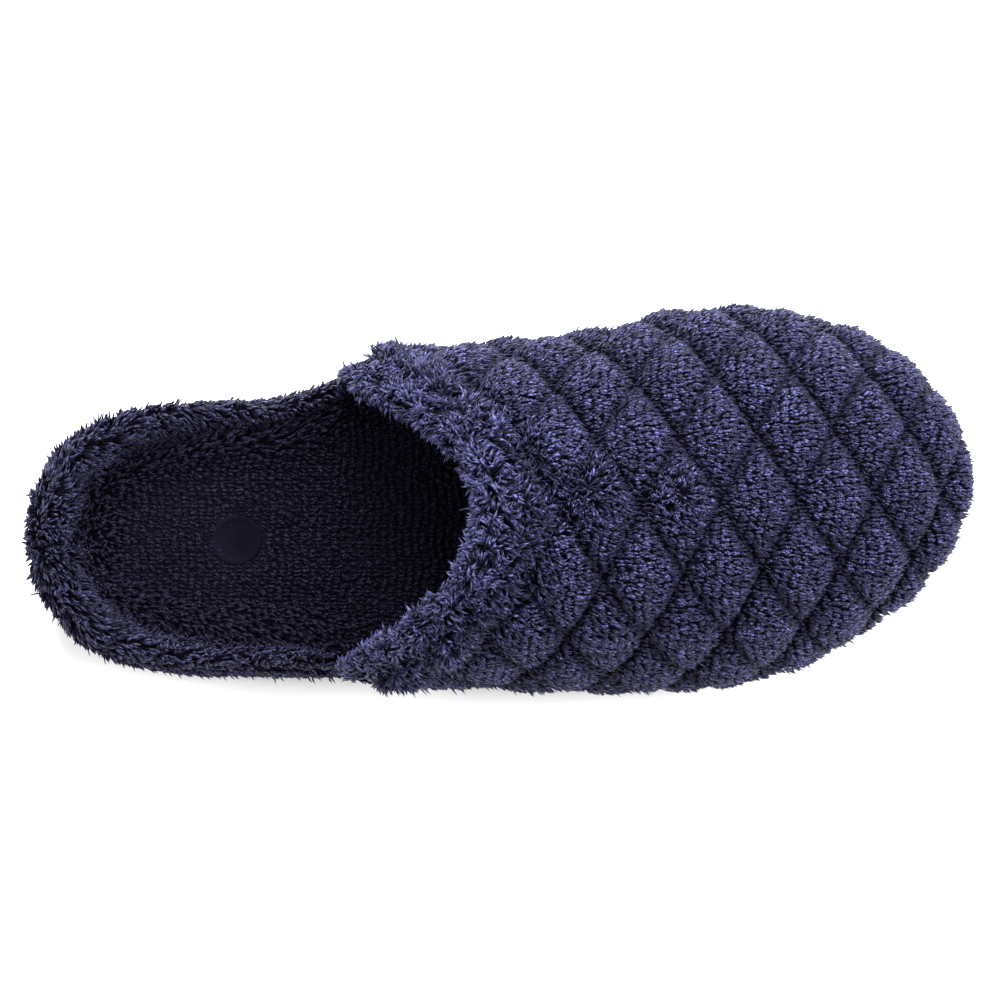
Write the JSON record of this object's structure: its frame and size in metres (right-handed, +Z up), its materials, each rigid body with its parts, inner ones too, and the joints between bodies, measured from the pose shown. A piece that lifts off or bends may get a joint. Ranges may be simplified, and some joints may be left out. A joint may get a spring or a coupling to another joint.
{
  "type": "clog slipper",
  "caption": "Quilted plush clog slipper for the right foot, with a closed toe, an open back inside a low padded heel rim, a soft footbed and a grooved rubber sole.",
  "frame": {"origin": "on the floor, under the middle of the slipper's bounding box", "axes": "+X to the toe, +Y to the inner side of the foot, +Z up"},
  "size_m": [0.267, 0.1078, 0.0704],
  "materials": {
    "outsole": "matt moulded rubber",
    "platform": "short terry pile over foam",
    "insole": "short flattened terry pile",
    "heel_rim": "long plush pile",
    "upper": "quilted terry pile",
    "throat_band": "long plush pile"
  },
  "bodies": {
    "root": {"outsole": "outsole", "platform": "platform", "insole": "insole", "heel_rim": "heel_rim", "upper": "upper", "throat_band": "throat_band"}
  },
  "joints": []
}
